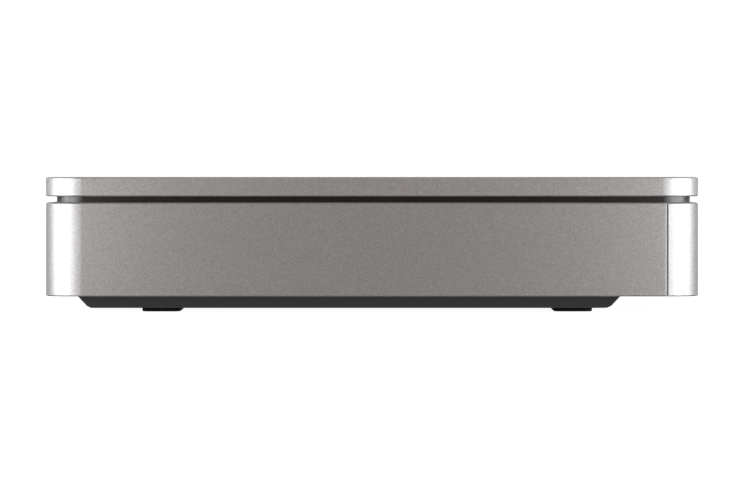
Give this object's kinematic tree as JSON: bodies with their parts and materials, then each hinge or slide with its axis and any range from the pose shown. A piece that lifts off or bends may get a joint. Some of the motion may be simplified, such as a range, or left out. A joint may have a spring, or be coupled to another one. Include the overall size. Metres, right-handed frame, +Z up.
{
  "type": "mini pc",
  "caption": "Low square silver mini computer with a flat lid over a dark recessed ring, a set-back base on rubber feet, front and rear sockets, a power button and a blower fan inside.",
  "frame": {"origin": "middle of the footprint, on the desk surface under the feet", "axes": "+Z up, -Y towards the front, +X to the right seen from behind the front face looking along +Y"},
  "size_m": [0.195, 0.193, 0.04],
  "materials": {
    "case_metal": "bead-blasted, satin",
    "dark_ring_plastic": "fine moulded texture",
    "base_plastic": "moulded, fine texture",
    "foot_rubber": "moulded, matt",
    "black_steel": "powder coated",
    "socket_steel": "nickel plated",
    "screw_steel": "zinc plated",
    "black_plastic": "moulded",
    "ivory_plastic": "moulded",
    "clear_plastic": "polished",
    "circuit_board": "solder mask on glass fibre",
    "card_board": "solder mask on glass fibre",
    "chip_epoxy": "moulded",
    "copper": "drawn, bare",
    "fin_aluminium": "rolled sheet",
    "standoff_brass": "turned",
    "cell_steel": "polished",
    "ferrite": "sintered"
  },
  "bodies": {
    "chassis": {"top_lid": "case_metal", "lid_bosses": "screw_steel", "lid_screws": "screw_steel", "vent_frame": "dark_ring_plastic", "main_shell": "case_metal", "front_bezel": "case_metal", "power_panel": "black_steel", "rear_io_plate": "black_steel", "exhaust_grille": "black_steel", "base_cover": "base_plastic", "base_screws": "screw_steel", "rubber_feet": "foot_rubber", "button_guide": "black_plastic", "power_switch": "black_plastic", "status_light_pipe": "clear_plastic", "board_standoffs": "standoff_brass", "motherboard": "circuit_board", "board_screws": "screw_steel", "cpu_package": "circuit_board", "cold_plate": "copper", "heatsink_screws": "screw_steel", "heat_pipes": "copper", "fin_stack": "fin_aluminium", "fan_housing": "black_plastic", "fan_cover": "fin_aluminium", "fan_motor": "copper", "fan_screws": "screw_steel", "memory_sockets": "black_plastic", "memory_modules": "circuit_board", "memory_chips": "chip_epoxy", "card_sockets": "black_plastic", "ssd_module": "card_board", "ssd_chips": "chip_epoxy", "radio_module": "card_board", "radio_shield": "socket_steel", "card_screws": "screw_steel", "radio_antennas": "card_board", "coin_cell": "cell_steel", "coin_cell_holder": "black_plastic", "inductors": "ferrite", "capacitors": "fin_aluminium", "board_chips": "chip_epoxy", "power_inlet": "black_plastic", "hdmi_port": "socket_steel", "display_port": "socket_steel", "usb_stack_rear": "socket_steel", "ethernet_port": "socket_steel", "usb_a_front": "socket_steel", "usb_c_front": "socket_steel", "audio_jack": "black_plastic"},
    "fan_rotor": {"fan_rotor": "black_plastic", "rotor_magnet": "ferrite"},
    "power_button": {"power_button": "case_metal", "switch_plunger": "ivory_plastic"}
  },
  "joints": [
    {"name": "fan_spin", "type": "hinge", "parent": "chassis", "child": "fan_rotor", "pos_m": [0.0569, 0.0391, 0.013], "axis": [0, 0, 1], "continuous": true},
    {"name": "power_press", "type": "slide", "parent": "chassis", "child": "power_button", "axis": [0, 1, 0], "range_m": [0, 0.0005], "stiffness_N_per_m": 120, "springref_m": -0.004}
  ]
}
